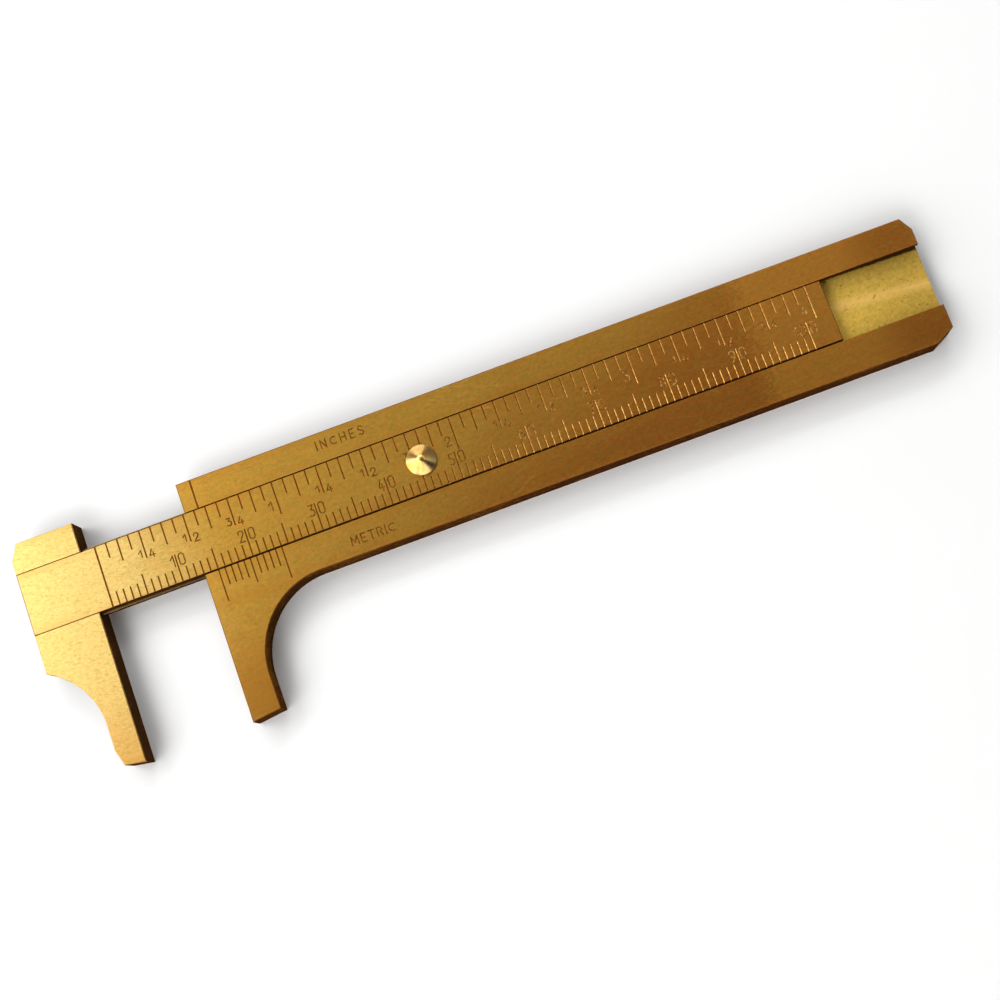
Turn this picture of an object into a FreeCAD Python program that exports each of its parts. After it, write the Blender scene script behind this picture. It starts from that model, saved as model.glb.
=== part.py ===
import FreeCAD, Part
import math
import os

# Small brass vernier caliper: a channelled frame with a fixed jaw, and a graduated bar with the moving jaw.
#
# Millimetres.  X runs along the bar: 0 is the fixed jaw's measuring face and the moving jaw lies at -X.
# Y runs across it: 0 is the channel's centreline and both jaws point to -Y.
# Z is 0 on the flat back and rises to the graduated face.

# ---- Driving dimensions ----

rest_opening = 15.0         # gap between the jaws, as modelled

frame_length = 105.0
upper_rail_width = 4.1
lower_rail_width = 4.7
slot_width = 9.0            # channel opening between the rails
floor_thickness = 2.5       # metal under the channel
floor_dish = 0.15           # hollow across the channel floor, at its centreline
undercut_depth = 0.3        # how far the channel goes in under each rail's lip
upper_corner_run = 1.1      # upper corner of the frame's end, along X
upper_corner_drop = 1.9     # the same corner, along Y
lower_corner_run = 2.6
lower_corner_drop = 1.4

jaw_reach = 25.3            # channel centreline to jaw tip
fixed_jaw_width = 4.1
fixed_jaw_fillet = 10.8     # hollow curve between the jaw and the lower rail
moving_jaw_width = 3.6
moving_jaw_fillet = 10.5    # the matching curve up to the head block
tip_slope = 0.5             # the tip rises this much from the measuring face outwards
tip_cut_run = 0.7           # outer corner of the moving jaw's tip, along X
tip_cut_drop = 2.2          # the same corner, along Y
head_length = 9.3           # head block of the moving jaw, along X
head_corner_run = 1.2       # outer corner of the head block, along X
head_corner_drop = 2.3      # the same corner, along Y

tongue_thickness = 1.0      # wide lower part of the bar, under the lips
face_thickness = 0.98       # narrow upper part of the bar, between the lips
tail_overhang = 0.9         # bar past the frame's end when the jaws are shut
grip_length = 25.0          # frame length past the bar's end when fully open

stud_position = 47.5        # from the head's inner face
stud_radius = 2.1
stud_rim = 0.3              # upright edge under the cone
stud_slope = math.radians(35)
stud_tip = 1.1              # radius of the rounded tip
shank_radius = 0.8
peen_radius = 1.1           # the shank is spread into a countersink under the bar
peen_depth = 0.35

jaw_pin_radius = 0.8
jaw_pin_setback = 2.5       # nearer pin, from the head's inner face
jaw_pin_pitch = 4.0
jaw_pin_bite = 1.3          # how far the pins go into the bar

stop_pin_radius = 0.6
stop_pin_position = 4.5     # from the fixed jaw's measuring face
stop_pin_offset = 2.8       # from the centreline, towards the jaws
stop_pin_bite = 0.5         # how far the pin stands up into the groove

pocket_depth = 0.9          # spring pocket under the bar's tail
pocket_width = 4.0
pocket_length = 17.0
pocket_end_wall = 1.8       # bar left between the pocket and the tail
leaf_thickness = 0.25
leaf_width = 3.2
leaf_tab_length = 3.6       # flat part, riveted to the pocket roof
rivet_radius = 0.45
rivet_bite = 0.7            # how far the rivet goes into the bar
rivet_head_radius = 0.9
rivet_head_height = 0.35

edge_break = 0.12           # small chamfer round each plate and the bar's face

# Graduations, all cut to one depth
mark_depth = 0.08
tick_width = 0.23
zero_width = 0.28
numeral_stroke = 0.17
scale_zero = 2.0            # zero line, from the head's inner face
scale_margin = 2.0          # bar left plain past the last graduation
inch_ticks = {"inch": 4.7, "quarter": 3.95, "eighth": 3.2, "sixteenth": 2.2}
metric_ticks = {"ten": 3.95, "five": 2.95, "one": 1.95}
vernier_ticks = {"ten": 4.4, "five": 3.36, "one": 2.35}
vernier_divisions = 10

# ---- Clearances ----

side_play = 0.11            # bar to channel, each side when centred
slide_bias = 0.05           # the bar rides this much towards the upper rail
slide_lift = 0.05           # bar above the channel floor's edges
tongue_clear = 0.08         # tongue to lip
joint_gap = 0.02            # soldered joint between head and bar, each side
groove_clear = 0.15         # stop pin to groove side and end
pin_top_clear = 0.2         # stop pin to groove roof
leaf_clear = 0.05           # leaf to channel floor
leaf_end_clear = 0.5        # leaf to pocket ends
cutter = 1.0                # how far a cutting shape stands past the metal

# ---- Worked-out sizes ----

V = FreeCAD.Vector

half_slot = slot_width / 2
upper_edge = half_slot + upper_rail_width
lower_edge = -half_slot - lower_rail_width
bar_bottom = floor_thickness + slide_lift
tongue_top = bar_bottom + tongue_thickness
lip_bottom = tongue_top + tongue_clear
top = tongue_top + face_thickness
face_half = half_slot - side_play
tongue_half = face_half + undercut_depth
bar_upper_edge = slide_bias + face_half
bar_lower_edge = slide_bias - face_half
head_face = -rest_opening
bar_reach = frame_length + tail_overhang
tail = head_face + bar_reach
max_opening = frame_length - grip_length
fillet_x = fixed_jaw_width + fixed_jaw_fillet
fillet_y = lower_edge - fixed_jaw_fillet


# ---- Shapes used throughout ----

def block(x0, x1, y0, y1, z0, z1):
    """Box between two opposite corners."""
    return Part.makeBox(x1 - x0, y1 - y0, z1 - z0, V(x0, y0, z0))


def rod(radius, x, y, z0, z1):
    """Upright cylinder."""
    return Part.makeCylinder(radius, z1 - z0, V(x, y, z0))


def path(points):
    """Flat wire: each point is (x, y) for a straight leg or (via x, via y, x, y) for an arc."""
    edges = []
    here = V(*points[0], 0)
    for point in points[1:]:
        end = V(*point[-2:], 0)
        if len(point) == 4:
            edges.append(Part.Arc(here, V(*point[:2], 0), end).toShape())
        else:
            edges.append(Part.makeLine(here, end))
        here = end
    return Part.Wire(edges)


def plate(points, height):
    """Plate with its face and back edges broken all round."""
    solid = Part.Face(path(points)).extrude(V(0, 0, height))
    rims = [edge for edge in solid.Edges if abs(edge.BoundBox.ZLength) < 1e-6]
    return solid.makeChamfer(edge_break, rims)


def channel(x0, x1, floor, centre, side_gap):
    """Cutting shape of the T-shaped channel, side_gap wider than the bar on each side."""
    mouth = face_half + side_gap
    under = tongue_half + side_gap
    opening = block(x0, x1, centre - mouth, centre + mouth, floor, top + cutter)
    undercut = block(x0, x1, centre - under, centre + under, floor, lip_bottom)
    return opening.fuse(undercut)


def milled_slot(x0, x1, y, radius, z0, z1):
    """Slot with round ends; x0 and x1 are the end centres."""
    straight = block(x0, x1, y - radius, y + radius, z0, z1)
    return straight.fuse([rod(radius, x0, y, z0, z1), rod(radius, x1, y, z0, z1)])


# ---- Engraved marks ----

def ring(x, y, radius):
    """Closed round stroke."""
    return [(x - radius, y), (x, y + radius, x + radius, y), (x, y - radius, x - radius, y)]


def half_turn(stroke):
    """The same stroke upside down in its cell."""
    width = max(point[-2] for point in stroke)
    return [tuple((1 if i % 2 else width) - value for i, value in enumerate(point)) for point in stroke]


# Strokes of each sign, in a cell one unit high
SIX = [(0.5, 1), (0.08, 0.66, 0, 0.3), (0.32, 0, 0.62, 0.3), (0.38, 0.58, 0.19, 0.5)]
SIGNS = {
    "0": [[(0, 0.33), (0, 0.67), (0.33, 1, 0.66, 0.67), (0.66, 0.33), (0.33, 0, 0, 0.33)]],
    "1": [[(0, 0.68), (0.4, 1), (0.4, 0)]],
    "2": [[(0.03, 0.72), (0.33, 1, 0.6, 0.66), (0, 0), (0.66, 0)]],
    "3": [[(0.02, 1), (0.58, 1), (0.24, 0.6), (0.64, 0.3, 0, 0.08)]],
    "4": [[(0.36, 1), (0, 0.3), (0.66, 0.3)], [(0.46, 0.6), (0.46, 0)]],
    "5": [[(0.56, 1), (0.1, 1), (0.06, 0.56), (0.6, 0.34, 0, 0.08)]],
    "6": [SIX],
    "7": [[(0, 1), (0.62, 1), (0.2, 0)]],
    "8": [ring(0.32, 0.76, 0.24), ring(0.32, 0.26, 0.26)],
    "9": [half_turn(SIX)],
    "C": [[(0.62, 0.84), (0, 0.5, 0.62, 0.16)]],
    "E": [[(0.5, 1), (0, 1), (0, 0), (0.5, 0)], [(0.02, 0.5), (0.42, 0.5)]],
    "H": [[(0, 0), (0, 1)], [(0.6, 0), (0.6, 1)], [(0.02, 0.5), (0.58, 0.5)]],
    "I": [[(0, 0), (0, 1)]],
    "M": [[(0, 0), (0.06, 1), (0.4, 0.25), (0.74, 1), (0.8, 0)]],
    "N": [[(0, 0), (0, 1), (0.6, 0), (0.6, 1)]],
    "R": [[(0, 0), (0, 1), (0.36, 1), (0.52, 0.88), (0.52, 0.66), (0.34, 0.52), (0.54, 0)]],
    "S": [[(0.5, 0.86), (0.36, 1), (0.12, 1), (0, 0.84), (0, 0.66),
           (0.5, 0.36), (0.5, 0.15), (0.36, 0), (0, 0.1)]],
    "T": [[(0, 1), (0.6, 1)], [(0.3, 0.98), (0.3, 0)]],
}


def sign_width(sign):
    """Width of a sign in its unit cell."""
    return max(point[-2] for stroke in SIGNS[sign] for point in stroke)


def straight_outline(start, end, radius):
    """Outline with round ends about one straight run."""
    run = math.dist(start, end)
    ahead = ((end[0] - start[0]) / run * radius, (end[1] - start[1]) / run * radius)
    side = (-ahead[1], ahead[0])
    return [
        (start[0] + side[0], start[1] + side[1]),
        (start[0] - ahead[0], start[1] - ahead[1], start[0] - side[0], start[1] - side[1]),
        (end[0] - side[0], end[1] - side[1]),
        (end[0] + ahead[0], end[1] + ahead[1], end[0] + side[0], end[1] + side[1]),
        (start[0] + side[0], start[1] + side[1]),
    ]


def stroke_cutter(stroke, x, y, height, stretch):
    """Cutting shape of one stroke, round at its ends and as wide as a punch mark."""
    scale = (height * stretch, height) * 2
    points = [tuple(value * factor for value, factor in zip(point, scale)) for point in stroke]
    radius = numeral_stroke / 2
    if [len(point) for point in points] == [2, 2]:
        face = Part.Face(path(straight_outline(*points, radius)))
    else:
        line = path(points)
        rims = [line.makeOffset2D(radius, 0, False, False)]
        if line.isClosed():
            rims.append(line.makeOffset2D(-radius))
        face = Part.makeFace(rims, "Part::FaceMakerBullseye")
    solid = face.extrude(V(0, 0, mark_depth + cutter))
    solid.translate(V(x, y, top - mark_depth))
    return solid


def punch(text, x, y, height, align="left", spacing=0.42, stretch=1.0):
    """Cutting shapes of a word; x is its left end, middle or right end and y its foot."""
    widths = [sign_width(sign) * height * stretch for sign in text]
    gap = spacing * height
    x -= {"left": 0, "middle": 0.5, "right": 1}[align] * (sum(widths) + gap * (len(text) - 1))
    solids = []
    for sign, width in zip(text, widths):
        solids += [stroke_cutter(stroke, x, y, height, stretch) for stroke in SIGNS[sign]]
        x += width + gap
    return solids


def tick(x, y0, y1, width=tick_width):
    """Cutting shape of one straight graduation: a V groove, its sides carried on up past the face."""
    crest = top + mark_depth
    corners = [V(x, y0, top - mark_depth), V(x + width, y0, crest), V(x - width, y0, crest)]
    return Part.Face(Part.makePolygon(corners + corners[:1])).extrude(V(0, y1 - y0, 0))


# ---- Frame, with the fixed jaw in one piece ----

def make_frame():
    halfway = fixed_jaw_fillet * math.sqrt(0.5)
    outline = [
        (0, upper_edge),
        (frame_length - upper_corner_run, upper_edge),
        (frame_length, upper_edge - upper_corner_drop),
        (frame_length, lower_edge + lower_corner_drop),
        (frame_length - lower_corner_run, lower_edge),
        (fillet_x, lower_edge),
        (fillet_x - halfway, fillet_y + halfway, fixed_jaw_width, fillet_y),
        (fixed_jaw_width, tip_slope - jaw_reach),
        (0, -jaw_reach),
        (0, upper_edge),
    ]
    body = plate(outline, top)
    ends = (-cutter, frame_length + cutter)
    dish_radius = (half_slot ** 2 + floor_dish ** 2) / (2 * floor_dish)
    dish_axis = V(ends[0], 0, floor_thickness - floor_dish + dish_radius)
    dish = Part.makeCylinder(dish_radius, ends[1] - ends[0], dish_axis, V(1, 0, 0))
    dish = dish.common(block(*ends, -half_slot, half_slot, 0, top))
    pin_hole = rod(stop_pin_radius, stop_pin_position, -stop_pin_offset, -cutter, top)
    body = body.cut([channel(*ends, floor_thickness, 0, side_play), dish, pin_hole])
    return body.cut(frame_marks())


def frame_marks():
    """Index line for inches, vernier for millimetres, and the two unit names."""
    marks = [tick(scale_zero, half_slot - cutter, upper_edge + cutter, zero_width)]
    pitch = (vernier_divisions - 1) / vernier_divisions
    for division in range(vernier_divisions + 1):
        size = "ten" if division % 10 == 0 else "five" if division % 5 == 0 else "one"
        x = scale_zero + pitch * division
        marks.append(tick(x, -half_slot - vernier_ticks[size], cutter - half_slot))
    marks += punch("INCHES", 19.75, half_slot + 1.75, 1.2, spacing=0.55)
    marks += punch("METRIC", 20.05, -half_slot - 3.2, 1.2, spacing=0.4)
    return marks


def make_stop_pin():
    return rod(stop_pin_radius, stop_pin_position, -stop_pin_offset, 0, bar_bottom + stop_pin_bite)


# ---- Slide ----

def make_slide_bar():
    section = [
        (slide_bias - tongue_half, bar_bottom),
        (slide_bias + tongue_half, bar_bottom),
        (slide_bias + tongue_half, tongue_top),
        (bar_upper_edge, tongue_top),
        (bar_upper_edge, top - edge_break),
        (bar_upper_edge - edge_break, top),
        (bar_lower_edge + edge_break, top),
        (bar_lower_edge, top - edge_break),
        (bar_lower_edge, tongue_top),
        (slide_bias - tongue_half, tongue_top),
    ]
    start = head_face - head_length
    corners = [V(start, y, z) for y, z in section + section[:1]]
    bar = Part.Face(Part.makePolygon(corners)).extrude(V(tail - start, 0, 0))
    end_rims = [e for e in bar.Edges if e.BoundBox.XLength < 1e-6 and e.BoundBox.ZMin > top - 1e-6]
    bar = bar.makeChamfer(edge_break, end_rims)
    return bar.cut([stop_groove(), spring_pocket(), *bar_holes()]).cut(bar_marks())


def stop_groove():
    """Groove that runs over the stop pin from shut to fully open."""
    radius = stop_pin_radius + groove_clear
    first = head_face + stop_pin_position
    roof = bar_bottom + stop_pin_bite + pin_top_clear
    return milled_slot(first, first + max_opening, -stop_pin_offset, radius, bar_bottom - cutter, roof)


def pocket_start():
    return tail - pocket_end_wall - pocket_length


def rivet_place():
    return pocket_start() + leaf_end_clear + leaf_tab_length / 2


def spring_pocket():
    """Pocket under the tail for the leaf."""
    x0 = pocket_start()
    y0 = slide_bias - pocket_width / 2
    roof = bar_bottom + pocket_depth
    return block(x0, x0 + pocket_length, y0, y0 + pocket_width, bar_bottom - cutter, roof)


def stud_shank(above):
    """Shank with its spread end, from the underside up to a given height above the face."""
    x = head_face + stud_position
    spread = Part.makeCone(peen_radius, shank_radius, peen_depth, V(x, slide_bias, bar_bottom))
    return rod(shank_radius, x, slide_bias, bar_bottom, top + above).fuse(spread)


def pin_places():
    return [head_face - jaw_pin_setback - jaw_pin_pitch * number for number in range(2)]


def jaw_pin(x, z0):
    return rod(jaw_pin_radius, x, slide_bias, z0, bar_bottom + jaw_pin_bite)


def bar_holes():
    """Holes for the stud, the jaw pins and the spring's rivet."""
    roof = bar_bottom + pocket_depth
    rivet_hole = rod(rivet_radius, rivet_place(), slide_bias, roof - cutter, roof + rivet_bite)
    return [stud_shank(cutter), rivet_hole, *(jaw_pin(x, bar_bottom - cutter) for x in pin_places())]


def bar_marks():
    """Inches by sixteenths along the upper edge and millimetres along the lower edge."""
    zero = head_face + scale_zero
    marks = [tick(zero, bar_lower_edge - cutter, bar_upper_edge + cutter, zero_width)]
    room = bar_reach - scale_zero - scale_margin
    for sixteenth in range(1, 16 * int(room / 25.4) + 1):
        x = zero + 25.4 * sixteenth / 16
        size = "inch" if sixteenth % 16 == 0 else "quarter" if sixteenth % 4 == 0 else None
        size = size or ("eighth" if sixteenth % 2 == 0 else "sixteenth")
        marks.append(tick(x, bar_upper_edge - inch_ticks[size], bar_upper_edge + cutter))
        if size == "inch":
            marks += punch(str(sixteenth // 16), x - 1.1, 0.55, 1.3, "middle", stretch=0.85)
        elif size == "quarter":
            numerator, denominator = {4: "14", 8: "12", 12: "34"}[sixteenth % 16]
            marks += punch(numerator, x - 0.75, 0.75, 0.95, "middle")
            marks += punch(denominator, x + 0.85, 0.3, 1.1, "middle")
    for millimetre in range(1, 10 * int(room / 10) + 1):
        x = zero + millimetre
        size = "ten" if millimetre % 10 == 0 else "five" if millimetre % 5 == 0 else "one"
        marks.append(tick(x, bar_lower_edge - cutter, bar_lower_edge + metric_ticks[size]))
        if size == "ten":
            digits = str(millimetre)
            marks += punch(digits[:-1], x - 0.35, -2.05, 1.55, "right", 0.25, 0.7)
            marks += punch(digits[-1], x + 0.4, -2.05, 1.55, stretch=0.7)
    return marks


def make_sliding_jaw():
    """Head block with the moving jaw, channelled like the frame and pinned to the bar from the back."""
    radius = moving_jaw_fillet
    centre = (-moving_jaw_width - radius, -upper_edge - radius)
    start = math.acos((-head_length - centre[0]) / radius)
    middle = (centre[0] + radius * math.cos(start / 2), centre[1] + radius * math.sin(start / 2))
    outline = [
        (0, upper_edge),
        (head_corner_run - head_length, upper_edge),
        (-head_length, upper_edge - head_corner_drop),
        (-head_length, centre[1] + radius * math.sin(start)),
        (*middle, -moving_jaw_width, centre[1]),
        (-moving_jaw_width, tip_slope + tip_cut_drop - jaw_reach),
        (tip_cut_run - moving_jaw_width, tip_slope - jaw_reach),
        (0, -jaw_reach),
        (0, upper_edge),
    ]
    head = plate(outline, top)
    head.translate(V(head_face, 0, 0))
    ends = (head_face - head_length - cutter, head_face + cutter)
    pin_holes = [jaw_pin(x, -cutter) for x in pin_places()]
    return head.cut([channel(*ends, bar_bottom, slide_bias, joint_gap), *pin_holes])


def make_jaw_pins():
    return Part.makeCompound([jaw_pin(x, 0) for x in pin_places()])


def make_thumb_stud():
    """Low cone with a rounded tip, on a shank that is spread under the bar."""
    tip_edge = stud_tip * math.sin(stud_slope)
    cone_foot = top + stud_rim
    cone_head = cone_foot + (stud_radius - tip_edge) * math.tan(stud_slope)
    tip_centre = cone_head - stud_tip * math.cos(stud_slope)
    tip_middle = V(stud_tip * math.sin(stud_slope / 2), 0, tip_centre + stud_tip * math.cos(stud_slope / 2))
    crown = V(0, 0, tip_centre + stud_tip)
    cone_rim = V(tip_edge, 0, cone_head)
    tip = Part.Arc(crown, tip_middle, cone_rim).toShape()
    rim = [V(stud_radius, 0, cone_foot), V(stud_radius, 0, top)]
    side = Part.makePolygon([cone_rim, *rim, V(0, 0, top), crown])
    head = Part.Face(Part.Wire([tip, *side.Edges])).revolve(V(0, 0, 0), V(0, 0, 1), 360)
    head.translate(V(head_face + stud_position, slide_bias, 0))
    return head.fuse(stud_shank(0)).removeSplitter()


def make_friction_spring():
    """Flat tab under the pocket roof, then one bow that bears on the channel floor."""
    roof = bar_bottom + pocket_depth
    tab_start = pocket_start() + leaf_end_clear
    tab_end = tab_start + leaf_tab_length
    free_end = pocket_start() + pocket_length - leaf_end_clear
    half_chord = (free_end - tab_end) / 2
    bearing = floor_thickness - floor_dish + leaf_clear
    sag = roof - leaf_thickness - bearing
    radius = (half_chord ** 2 + sag ** 2) / (2 * sag)
    y0 = slide_bias - leaf_width / 2
    axis = V(tab_end + half_chord, y0, bearing + radius)
    bow = Part.makeCylinder(radius, leaf_width, axis, V(0, 1, 0))
    bow = bow.cut(Part.makeCylinder(radius - leaf_thickness, leaf_width, axis, V(0, 1, 0)))
    bow = bow.common(block(tab_end, free_end, y0, y0 + leaf_width, 0, roof))
    tab = block(tab_start, tab_end, y0, y0 + leaf_width, roof - leaf_thickness, roof)
    hole = rod(rivet_radius, rivet_place(), slide_bias, 0, top)
    return tab.fuse(bow).removeSplitter().cut(hole)


def make_spring_rivet():
    tab_bottom = bar_bottom + pocket_depth - leaf_thickness
    shank_top = bar_bottom + pocket_depth + rivet_bite
    x = rivet_place()
    head = rod(rivet_head_radius, x, slide_bias, tab_bottom - rivet_head_height, tab_bottom)
    return head.fuse(rod(rivet_radius, x, slide_bias, tab_bottom, shank_top)).removeSplitter()


NODES = {
    "frame": make_frame,
    "stop_pin": make_stop_pin,
    "slide_bar": make_slide_bar,
    "sliding_jaw": make_sliding_jaw,
    "jaw_pins": make_jaw_pins,
    "thumb_stud": make_thumb_stud,
    "friction_spring": make_friction_spring,
    "spring_rivet": make_spring_rivet,
}

os.makedirs("parts", exist_ok=True)
for name, make in NODES.items():
    shape = make()
    shape.exportStep(f"parts/{name}.step")
    print(name, len(shape.Solids), round(shape.Volume, 2), shape.isValid())
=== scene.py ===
import math

import bmesh
import bpy
from mathutils import Matrix, Vector


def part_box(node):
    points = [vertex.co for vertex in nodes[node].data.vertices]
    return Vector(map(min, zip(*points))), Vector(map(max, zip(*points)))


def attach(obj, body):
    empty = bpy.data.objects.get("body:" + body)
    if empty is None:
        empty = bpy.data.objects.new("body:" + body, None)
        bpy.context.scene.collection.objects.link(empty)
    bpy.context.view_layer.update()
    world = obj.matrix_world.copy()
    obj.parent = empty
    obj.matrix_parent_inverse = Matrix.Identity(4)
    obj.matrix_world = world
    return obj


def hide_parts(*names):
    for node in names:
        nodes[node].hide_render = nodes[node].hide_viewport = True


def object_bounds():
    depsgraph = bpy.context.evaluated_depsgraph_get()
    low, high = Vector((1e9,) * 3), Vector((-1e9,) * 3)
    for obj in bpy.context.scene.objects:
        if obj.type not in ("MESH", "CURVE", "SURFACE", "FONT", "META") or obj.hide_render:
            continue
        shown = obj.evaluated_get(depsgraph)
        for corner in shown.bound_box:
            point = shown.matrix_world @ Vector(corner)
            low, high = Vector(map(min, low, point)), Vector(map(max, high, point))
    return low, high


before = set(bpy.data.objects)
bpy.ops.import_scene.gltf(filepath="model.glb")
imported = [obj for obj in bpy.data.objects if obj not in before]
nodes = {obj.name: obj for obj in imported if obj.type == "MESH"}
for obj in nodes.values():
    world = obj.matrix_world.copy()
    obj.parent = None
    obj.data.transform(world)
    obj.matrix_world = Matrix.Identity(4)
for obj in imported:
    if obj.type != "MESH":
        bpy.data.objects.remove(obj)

# Small brass vernier caliper: finishes for the machined parts, and a turned stud, on a pale studio floor.
# Lengths are metres; finishes read Object coordinates in millimetres.

MM = 0.001
cad_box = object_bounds()


def box_mm(node):
    """Lowest and highest corner of a machined part, in millimetres."""
    low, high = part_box(node)
    return low / MM, high / MM


frame_high = box_mm("frame")[1]
bar_low, bar_high = box_mm("slide_bar")
jaw_low, jaw_high = box_mm("sliding_jaw")
stud_low, stud_high = box_mm("thumb_stud")

face = frame_high.z                                    # graduated face
mark_depth = 0.08                                      # engraved lines below the face
undercut = 0.3                                         # the bar's tongue past its face, each side
narrow_part = 0.98                                     # height of the bar's face above its tongue
side_play = 0.11                                       # bar to channel, each side
slide_lift = 0.05                                      # bar above the channel floor's edges
bar_middle = (bar_low.y + bar_high.y) / 2
bar_half = (bar_high.y - bar_low.y) / 2 - undercut     # half width of the bar's face
tongue_top = face - narrow_part
channel_half = bar_half + side_play
channel_floor = bar_low.z - slide_lift
lower_edge = -9.2                                      # outer edge of the lower rail


# ---- Shader maths ----

class Value:
    """One output socket; sums, differences, products and absolutes of values become Math nodes."""

    def __init__(self, tree, socket):
        self.tree = tree
        self.socket = socket

    def math(self, operation, *terms):
        return self.tree.node("ShaderNodeMath", {"operation": operation}, dict(enumerate(terms)))

    def __add__(self, other):
        return self.math("ADD", self, other)

    def __radd__(self, other):
        return self.math("ADD", other, self)

    def __sub__(self, other):
        return self.math("SUBTRACT", self, other)

    def __rsub__(self, other):
        return self.math("SUBTRACT", other, self)

    def __mul__(self, other):
        return self.math("MULTIPLY", self, other)

    def __abs__(self):
        return self.math("ABSOLUTE", self)

    def either(self, other):
        """The larger of two masks."""
        return self.math("MAXIMUM", self, other)


class NodeTree:
    """The nodes of one material or world."""

    def __init__(self, owner):
        owner.use_nodes = True
        self.tree = owner.node_tree

    def node(self, kind, settings=None, inputs=None, output=0):
        """Any node: its settings, the values or links of its sockets, and the output that is used."""
        node = self.tree.nodes.new(kind)
        for name, value in (settings or {}).items():
            setattr(node, name, value)
        for key, value in (inputs or {}).items():
            self.feed(node.inputs[key], value)
        return Value(self, node.outputs[output])

    def feed(self, socket, value):
        """Links a value to a socket, or sets the socket to a number, vector or colour."""
        if isinstance(value, Value):
            self.tree.links.new(value.socket, socket)
        elif socket.type == "RGBA":
            socket.default_value = (*value, 1)
        else:
            socket.default_value = value


class Finish(NodeTree):
    """One material with a metal shader, and the patterns that finishes are made of."""

    def __init__(self, name):
        self.material = bpy.data.materials.new(name)
        super().__init__(self.material)
        metres = self.node("ShaderNodeTexCoord", output="Object")
        self.where = self.node("ShaderNodeVectorMath", {"operation": "SCALE"}, {0: metres, "Scale": 1 / MM})
        self.x, self.y, self.z = self.parts(self.where)
        facing = self.node("ShaderNodeTexCoord", output="Normal")
        self.facing_x, self.facing_y, self.facing_z = self.parts(facing)

    def parts(self, vector):
        """The x, y and z of a vector."""
        return [self.node("ShaderNodeSeparateXYZ", inputs={0: vector}, output=axis) for axis in "XYZ"]

    def noise(self, where, pitch, turn=0.0, **inputs):
        """Noise from 0 to 1; pitch is its size in millimetres along x, y and z, turned about z."""
        scale = [1 / size for size in pitch]
        inward = {0: where, "Rotation": (0, 0, turn)}
        turned = self.node("ShaderNodeMapping", {"vector_type": "TEXTURE"}, inward)
        stretched = self.node("ShaderNodeVectorMath", {"operation": "MULTIPLY"}, {0: turned, 1: scale})
        return self.node("ShaderNodeTexNoise", inputs={"Vector": stretched, "Scale": 1.0, **inputs})

    def rise(self, value, low, high):
        """0 below low, 1 above high and a smooth step between them; low may be the higher one."""
        inputs = {"Value": value, "From Min": low, "From Max": high}
        return self.node("ShaderNodeMapRange", {"interpolation_type": "SMOOTHSTEP"}, inputs)

    def mix(self, first, second, amount):
        """Colour between two colours."""
        inputs = {0: amount, 6: first, 7: second}
        return self.node("ShaderNodeMix", {"data_type": "RGBA"}, inputs, 2)

    def tint(self, colour, value):
        """Colour times a value."""
        return self.node("ShaderNodeVectorMath", {"operation": "SCALE"}, {0: colour, "Scale": value})

    def bump(self, height, depth):
        """Normal from a height of 0 to 1 that stands for a depth in millimetres."""
        return self.node("ShaderNodeBump", inputs={"Height": height, "Distance": depth * MM, "Strength": 1.0})

    def shade(self, colour, roughness, metallic=0.0, normal=None):
        """Feeds the metal shader and returns the material; what isn't metal has no gloss."""
        sockets = self.tree.nodes["Principled BSDF"].inputs
        self.feed(sockets["Base Color"], colour)
        self.feed(sockets["Roughness"], roughness)
        self.feed(sockets["Metallic"], metallic)
        self.feed(sockets["Specular IOR Level"], 0.0)
        if normal:
            self.feed(sockets["Normal"], normal)
        return self.material


# ---- Brass finishes ----

YELLOW = (0.80, 0.43, 0.065)
BROWN = (0.60, 0.195, 0.030)
OLIVE = (0.56, 0.34, 0.050)
ORANGE = (0.74, 0.28, 0.035)
PALE = (0.95, 0.68, 0.23)
# colour of the painted highlight in the engraved lines
GLEAM_HIGHLIGHT = (1.0, 0.60, 0.16)
RUBBED = (0.78, 0.50, 0.085)
# colour of the painted highlight along the channel floor
STREAK_HIGHLIGHT = (1.0, 0.62, 0.18)
PIT = (0.30, 0.12, 0.02)
# near black: patina, and painted shade on upright faces, in the channel's corner and beside the gap
TARNISH_AND_SHADE = (0.040, 0.012, 0.004)
# dark brown: grime in the engraved lines, and painted shadow at the stud's foot
GRIME_AND_SHADE = (0.17, 0.052, 0.009)
STAIN = (0.32, 0.125, 0.022)
DULL = (0.30, 0.19, 0.075)
POLISH = (0.98, 0.72, 0.28)
POLISH_WARM = (0.92, 0.50, 0.12)
FILED = (0.60, 0.34, 0.09)
ROLLED = (0.72, 0.44, 0.14)
GRAIN_DEPTH = 0.004                                    # bump of brushed and filed metal, in millimetres
EDGE_WEAR = 1.7                                        # how far the orange wear goes in from a long edge


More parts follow.
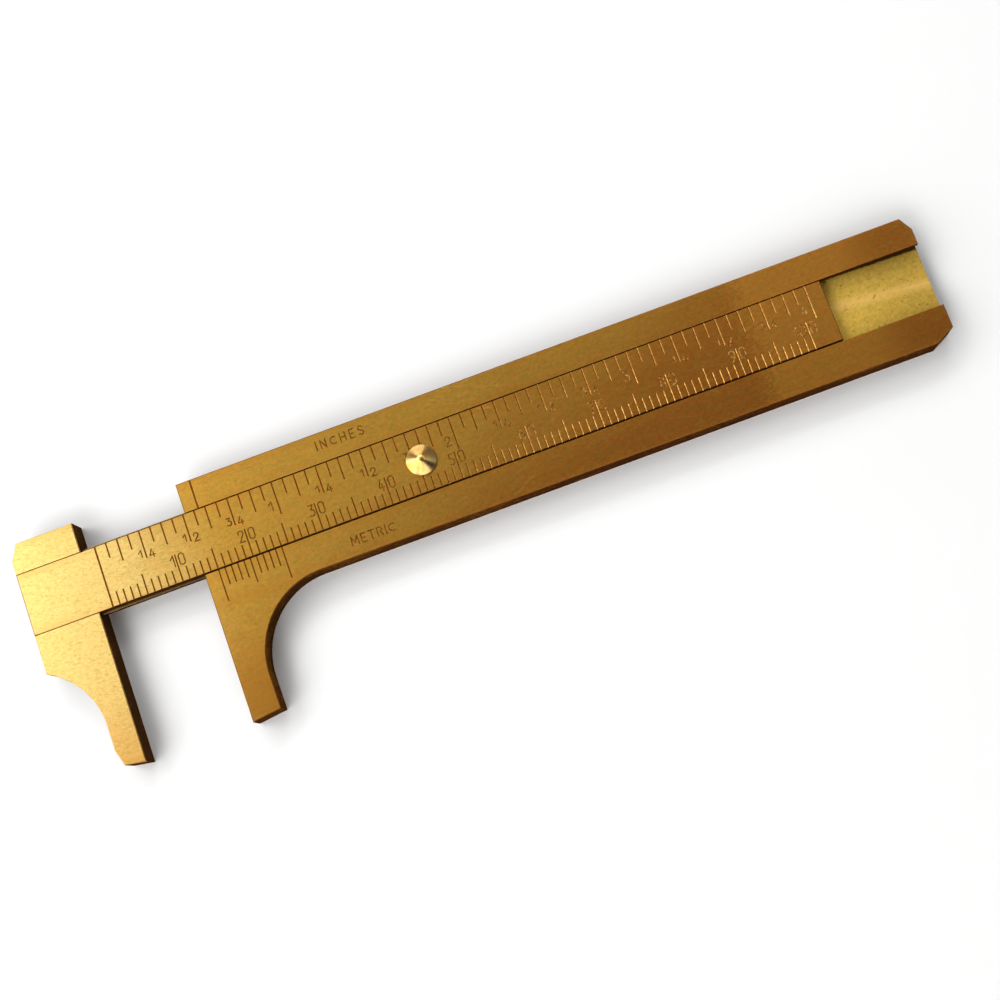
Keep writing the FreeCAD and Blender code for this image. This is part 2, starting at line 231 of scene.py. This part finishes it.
def worn_highlit_brass(f, edges, handled_and_highlit):
    """Colour, roughness and height of brushed brass, brown towards the tail, with a painted highlight where it
    is rubbed pale and a lighter band of painted reflection.

    edges are the y of long edges; the third argument gives the x from which and to which it is rubbed pale and
    given a painted highlight.
    """
    where, x, y = f.where, f.x, f.y
    f.cloud = f.noise(where, (14, 6, 6), Detail=3.0)
    f.mottle = f.noise(where, (0.62, 0.42, 0.5), 0.35, Detail=4.0, Roughness=0.75)
    fleck = f.noise(where, (0.85, 0.38, 0.4), -0.2, Detail=3.0, Roughness=0.8)
    grain = f.noise(where, (3.0, 0.10, 0.10), 0.03, Detail=2.0)
    scratch = f.rise(f.noise(where, (9.0, 0.07, 0.07), 0.5), 0.70, 0.78)
    scratch = scratch.either(f.rise(f.noise(where, (7.0, 0.06, 0.06), -0.25), 0.71, 0.79))
    edge = f.rise(abs(y - edges[0]), EDGE_WEAR, 0.0)
    for other in edges[1:]:
        edge = edge.either(f.rise(abs(y - other), EDGE_WEAR, 0.0))
    # painted reflection: a band from x 77 to 101 is made lighter and less brown
    ragged = x + (f.mottle - 0.5) * 6
    reflection_band = f.rise(ragged, 77, 82) * f.rise(ragged, 101, 93)

    drift = f.cloud - 0.5
    colour = f.mix(YELLOW, BROWN, f.rise(x - y * 1.8 + drift * 30, 22, 80) * (1 - reflection_band * 0.3))
    # pale over the handled span: rubbing wear and a painted highlight
    colour = f.mix(colour, PALE, f.rise(x + drift * 12, *handled_and_highlit))
    colour = f.mix(colour, OLIVE, f.rise(fleck, 0.56, 0.34) * 0.55)
    colour = f.mix(colour, ORANGE, f.rise(fleck, 0.48, 0.70) * 0.5)
    colour = f.mix(colour, ORANGE, edge * 0.40 * f.rise(f.mottle + f.cloud, 0.7, 1.3))
    f.colour = f.tint(colour, (0.52 + f.mottle * 0.60 + grain * 0.20) * (1 + reflection_band * 0.25))
    f.rough = 0.225 + f.mottle * 0.12 + grain * 0.06
    f.metal = 1.0
    f.height = f.mottle * 0.5 + grain * 0.5 + scratch * -0.8
    f.side = f.rise(abs(f.facing_z), 0.35, 0.12)
    f.colour = f.mix(f.colour, PALE, scratch * 0.25 * (1 - f.side))


def rubbed_lit_floor(f):
    """The channel floor is rubbed pale and pitted, with a painted highlight along its middle and a black
    painted shadow in its upper corner.
    """
    floor = f.rise(f.z, channel_floor + 0.25, channel_floor + 0.1) * f.rise(f.facing_z, 0.8, 0.9)
    floor = floor * f.rise(f.z, channel_floor - 0.4, channel_floor - 0.3)
    pit = f.rise(f.noise(f.where, (0.75, 0.42, 0.4), 0.6, Detail=4.0, Roughness=0.6), 0.61, 0.68)
    waver = f.mottle - 0.5
    # painted highlight: a bright streak with glints along the middle of the floor
    off_streak = abs(f.y - 0.6 + (f.x - 92) * 0.09 + waver * 0.3)
    glint = f.rise(off_streak, 0.24, 0.06) * f.rise(f.cloud, 0.3, 0.5)
    highlight_streak = f.rise(off_streak, 1.2, 0.2) * 0.5 + glint * 0.4
    near_bar = f.rise(f.x, 102, 90)
    worked = f.tint(RUBBED, (0.46 + f.mottle * 1.0) * (0.8 + near_bar * 0.33))
    worked = f.mix(worked, STREAK_HIGHLIGHT, highlight_streak * (0.8 + near_bar * 0.3))
    worked = f.mix(worked, PIT, pit * 0.8)
    # painted shadow under the upper rail's lip, widening towards the far end
    corner = f.rise(f.y + (f.x - 97) * 0.025 + waver * 0.5, channel_half - 0.12, channel_half + 0.12)
    worked = f.mix(worked, TARNISH_AND_SHADE, corner * 0.95)
    f.colour = f.mix(f.colour, worked, floor)
    f.rough = f.rough + floor * 0.14
    f.metal = f.metal - floor * 0.6
    f.height = f.height * (1 - floor * 0.5) - pit * floor * 0.3


def dark_sides(f):
    """Upright faces and the channel's walls get painted shade, dark and dull, partly patina, a little rubbed
    along their edges.
    """
    dark = f.tint(TARNISH_AND_SHADE, 0.4 + f.mottle * 1.4)
    shade_and_patina = f.mix(dark, f.tint(STAIN, 0.45), f.rise(f.cloud + f.mottle, 1.0, 1.3))
    rubbed = f.rise(f.z, face - 0.35, face - 0.1).either(f.rise(f.z, 0.35, 0.1)) * f.rise(f.mottle, 0.45, 0.6)
    shade_and_patina = f.mix(shade_and_patina, STAIN, rubbed * 0.5)
    # painted shade, partly patina, on all upright faces
    f.colour = f.mix(f.colour, shade_and_patina, f.side * 0.98)
    f.rough = f.rough + f.side * 0.4
    f.metal = f.metal - f.side


def filled_highlit_marks(f):
    """Grime in the engraved lines, rubbed out towards the tail, where one flank and patches of the floors carry
    a painted highlight.
    """
    groove = f.rise(f.z, face - 0.03 * mark_depth, face - 0.12 * mark_depth)
    groove = groove * f.rise(f.z, face - 1.6 * mark_depth, face - 1.35 * mark_depth)
    patch = f.rise(f.noise(f.where, (0.35, 0.35, 0.35), Detail=2.0), 0.42, 0.60)
    # dark fill towards the head; towards the tail it gives way to painted highlight
    dark_fill = f.rise(f.x - f.y * 1.5 + (f.cloud - 0.5) * 12 + (f.mottle - 0.5) * 25, 58, 36)
    flat = f.rise(f.facing_z, 0.97, 0.99)
    # painted highlight on the flanks that face the head, weaker on the upper scale
    lit_flank = f.rise(f.facing_x * -1, 0.2, 0.3) * (1 - f.rise(f.y, 0.5, 2.0) * 0.55)
    dirt = f.mix(GRIME_AND_SHADE, STAIN, patch * (0.4 + flat * 0.6))
    rubbed = f.mix(STAIN, GLEAM_HIGHLIGHT, lit_flank * (0.25 + patch * 0.6) * (1 - f.side) + flat * patch * 0.7)
    f.colour = f.mix(f.colour, f.mix(rubbed, dirt, dark_fill), groove)
    f.metal = f.metal - groove * (0.4 + dark_fill * 0.5)
    f.rough = f.rough + groove * 0.25


def shaded_rims(f):
    """Painted shade along the small chamfers beside the gap."""
    slant = f.rise(f.facing_z, 0.93, 0.85) * f.rise(f.facing_z, 0.4, 0.55) * f.rise(abs(f.facing_y), 0.5, 0.6)
    slant = slant * f.rise(f.z, face - 0.3, face - 0.2) * f.rise(f.x, jaw_high.x - 0.1, jaw_high.x + 0.1)
    f.colour = f.mix(f.colour, TARNISH_AND_SHADE, slant)
    f.metal = f.metal - slant


def frame_finish():
    f = Finish("frame_brushed")
    worn_highlit_brass(f, (frame_high.y, lower_edge, channel_half, -channel_half), (4, -14))
    low_jaw = f.rise(f.y, lower_edge, 2.5 * lower_edge)
    f.colour = f.mix(f.colour, f.tint(ORANGE, 0.8), low_jaw * 0.45)
    rubbed_lit_floor(f)
    dark_sides(f)
    filled_highlit_marks(f)
    return f.shade(f.colour, f.rough, f.metal, f.bump(f.height, GRAIN_DEPTH))


def bar_finish():
    f = Finish("bar_brushed")
    worn_highlit_brass(f, (bar_middle + bar_half, bar_middle - bar_half), (6, -14))
    tongue = f.rise(f.z, tongue_top + 0.1, tongue_top)
    f.colour = f.mix(f.colour, f.tint(DULL, 0.3 + f.mottle * 1.4), tongue * 0.9)
    dark_sides(f)
    filled_highlit_marks(f)
    shaded_rims(f)
    return f.shade(f.colour, f.rough, f.metal, f.bump(f.height, GRAIN_DEPTH))


def jaw_finish():
    f = Finish("jaw_handled_highlit")
    worn_highlit_brass(f, (jaw_high.y, jaw_low.y), (12, -18))
    f.colour = f.mix(f.colour, f.tint(ORANGE, 1.1), f.rise(f.y, -12, jaw_low.y) * 0.35)
    dark_sides(f)
    return f.shade(f.colour, f.rough, f.metal, f.bump(f.height, GRAIN_DEPTH))


def polished_brass(name):
    """Turned and polished, with faint dents and a dull foot darkened by painted shadow."""
    f = Finish(name)
    cloud = f.noise(f.where, (1.4, 1.4, 1.4), Detail=2.0)
    rings = f.noise(f.where, (30, 30, 0.12))
    # painted contact shadow round the stud's foot
    shaded_foot = f.rise(f.z, face + 0.35, face + 0.05)
    colour = f.mix(POLISH, POLISH_WARM, f.rise(cloud, 0.35, 0.7))
    colour = f.mix(colour, GRIME_AND_SHADE, shaded_foot * 0.8)
    height = rings * 0.15 + cloud * 0.85
    return f.shade(colour, 0.24 + cloud * 0.10 + shaded_foot * 0.3, 1.0, f.bump(height, GRAIN_DEPTH))


def plain_brass(name, colour):
    """Small hidden or filed parts, with file marks across them."""
    f = Finish(name)
    mottle = f.noise(f.where, (0.5, 0.5, 0.5), Detail=3.0)
    filed = f.noise(f.where, (0.05, 2.0, 0.05), 0.5)
    tone = f.tint(colour, 0.75 + mottle * 0.35 + filed * 0.15)
    return f.shade(tone, 0.3 + mottle * 0.15, 1.0, f.bump(filed, GRAIN_DEPTH))


# ---- Pieces ----

def placed(name, mesh, body, material):
    """A finished mesh as an object that rides on a body."""
    data = bpy.data.meshes.new(name)
    mesh.to_mesh(data)
    mesh.free()
    data.materials.append(material)
    piece = bpy.data.objects.new(name, data)
    bpy.context.scene.collection.objects.link(piece)
    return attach(piece, body)


def turned(name, profile, body, material, steps=128):
    """Solid turned about Z; profile is (radius, height) in millimetres, from top to bottom, axis to axis."""
    mesh = bmesh.new()
    points = [mesh.verts.new((radius * MM, 0, height * MM)) for radius, height in profile]
    edges = [mesh.edges.new(pair) for pair in zip(points, points[1:])]
    bmesh.ops.spin(
        mesh, geom=points + edges, cent=(0, 0, 0), axis=(0, 0, 1), dvec=(0, 0, 0),
        angle=2 * math.pi, steps=steps, use_merge=True,
    )
    bmesh.ops.remove_doubles(mesh, verts=mesh.verts, dist=1e-7)
    bmesh.ops.recalc_face_normals(mesh, faces=mesh.faces)
    for side in mesh.faces:
        side.smooth = True
    return placed(name, mesh, body, material)


def turned_stud():
    """Stud: upright rim, straight cone and rounded tip, with a shank spread into the bar's countersink."""
    radius = (stud_high.x - stud_low.x) / 2
    rim = 0.3                   # upright edge under the cone
    slope = math.radians(35)
    tip = 1.1                   # radius of the rounded tip
    soft = 0.06                 # rounding of the rim's corners
    shank = 0.8
    spread = 1.1                # radius of the shank's spread end
    spread_depth = 0.35
    dome_steps = 12
    cone_foot = face + rim
    cone_head = cone_foot + (radius - tip * math.sin(slope)) * math.tan(slope)
    centre = cone_head - tip * math.cos(slope)
    angles = [slope * i / dome_steps for i in range(dome_steps + 1)]
    dome = [(tip * math.sin(angle), centre + tip * math.cos(angle)) for angle in angles]
    profile = [
        *dome,
        (radius - soft, cone_foot + soft * math.tan(slope)),
        (radius - soft * 0.3, cone_foot + soft * 0.1),
        (radius, cone_foot - soft),
        (radius, face + soft / 3),
        (radius - soft, face),
        (shank, face),
        (shank, bar_low.z + spread_depth),
        (spread, bar_low.z),
        (0, bar_low.z),
    ]
    piece = turned("stud_turned", profile, "slide", polished_brass("polished_stud"))
    piece.data.transform(Matrix.Translation(((stud_low.x + radius) * MM, bar_middle * MM, 0)))
    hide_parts("thumb_stud")


def give(node, material):
    """One finish all over a machined part."""
    for slot in nodes[node].material_slots:
        slot.material = material


give("frame", frame_finish())
give("slide_bar", bar_finish())
give("sliding_jaw", jaw_finish())
give("jaw_pins", plain_brass("pins_filed", FILED))
give("stop_pin", plain_brass("stop_filed", FILED))
give("friction_spring", plain_brass("spring_rolled", ROLLED))
give("spring_rivet", plain_brass("rivet_filed", FILED))
turned_stud()


# ---- Studio ----

def studio_floor():
    """Pale matt sheet under the caliper."""
    mesh = bmesh.new()
    bmesh.ops.create_circle(mesh, cap_ends=True, radius=6.0, segments=64)
    data = bpy.data.meshes.new("studio_floor")
    mesh.to_mesh(data)
    mesh.free()
    data.materials.append(Finish("pale_sheet").shade((0.95, 0.95, 0.945), 0.9))
    sheet = bpy.data.objects.new("studio_floor", data)
    sheet.location.z = cad_box[0].z
    bpy.context.scene.collection.objects.link(sheet)


def soft_panel(name, place, target, size, radiance):
    """Area light of a given brightness, facing a target."""
    light = bpy.data.lights.new(name, "AREA")
    light.shape = "RECTANGLE"
    light.size, light.size_y = size
    light.energy = radiance * math.pi * size[0] * size[1]
    lamp = bpy.data.objects.new(name, light)
    lamp.location = place
    lamp.rotation_euler = (Vector(target) - Vector(place)).to_track_quat("-Z", "Y").to_euler()
    bpy.context.scene.collection.objects.link(lamp)


def sky(window, zenith, horizon, shade, seen):
    """Faint light from all round: brighter low down and towards the window, with one shaded side.

    window and shade are directions. The camera sees an even backdrop of the strength seen. The background keeps
    its default dark grey, so a strength of 1 is only about 0.05, and the backdrop is dark in a low view.
    """
    world = bpy.data.worlds.new("studio")
    f = NodeTree(world)
    ray = f.node("ShaderNodeTexCoord", output="Generated")

    def along(direction, low, high):
        """0 to 1 as the ray turns towards a direction."""
        direction = Vector(direction).normalized()
        turn = f.node("ShaderNodeVectorMath", {"operation": "DOT_PRODUCT"}, {0: ray, 1: direction}, "Value")
        return f.node("ShaderNodeMapRange", inputs={"Value": turn, "From Min": low, "From Max": high})

    glow = along(window, -1, 1) * zenith
    glow = glow + along((0, 0, 1), 0.92, 0.5) * (1 - along(shade, 0.1, 0.9) * 0.9) * horizon
    straight = f.node("ShaderNodeLightPath", output="Is Camera Ray")
    f.feed(f.tree.nodes["Background"].inputs["Strength"], glow * (1 - straight) + straight * seen)
    bpy.context.scene.world = world


def camera():
    """Looks almost straight down on the graduated face; the lens and sensor are in millimetres."""
    data = bpy.data.cameras.new("camera")
    data.lens = 63
    data.sensor_width = 36
    data.clip_start = 0.01
    view = bpy.data.objects.new("camera", data)
    view.location = (0.043412, -0.050616, 0.233664)
    view.rotation_euler = [math.radians(angle) for angle in (9.5074, 4.1984, -19.7306)]
    bpy.context.scene.collection.objects.link(view)
    bpy.context.scene.camera = view


studio_floor()
soft_panel("window", (-0.48, 0.33, 0.60), (-0.48, 0.33, 0), (0.56, 0.60), 3.6)
soft_panel("ceiling", (0.17, 0.36, 0.60), (0.17, 0.36, 0), (0.68, 0.56), 0.38)
soft_panel("left_wall", (-0.60, -0.02, 0.26), (0.05, 0, 0), (0.9, 0.4), 2.2)
soft_panel("front", (-0.55, -0.52, 0.85), (0.04, 0, 0), (0.9, 0.5), 4.2)
soft_panel("back", (0.10, 0.85, 0.75), (0.04, 0, 0), (1.0, 0.4), 3.2)
soft_panel("far_wall", (0.0, 1.10, 0.18), (0.03, 0, 0), (1.1, 0.3), 1.3)
soft_panel("near_wall", (-0.10, -0.95, 0.62), (0.04, 0, 0), (1.3, 0.45), 1.5)
soft_panel("tail_wall", (1.0, 0.18, 0.74), (0.04, 0, 0), (1.3, 0.45), 0.9)
sky((-0.8, 0.6, 0.1), 0.28, 0.55, (0.9, -0.4, 0.2), 0.97)
camera()
bpy.context.scene.view_settings.view_transform = "Standard"
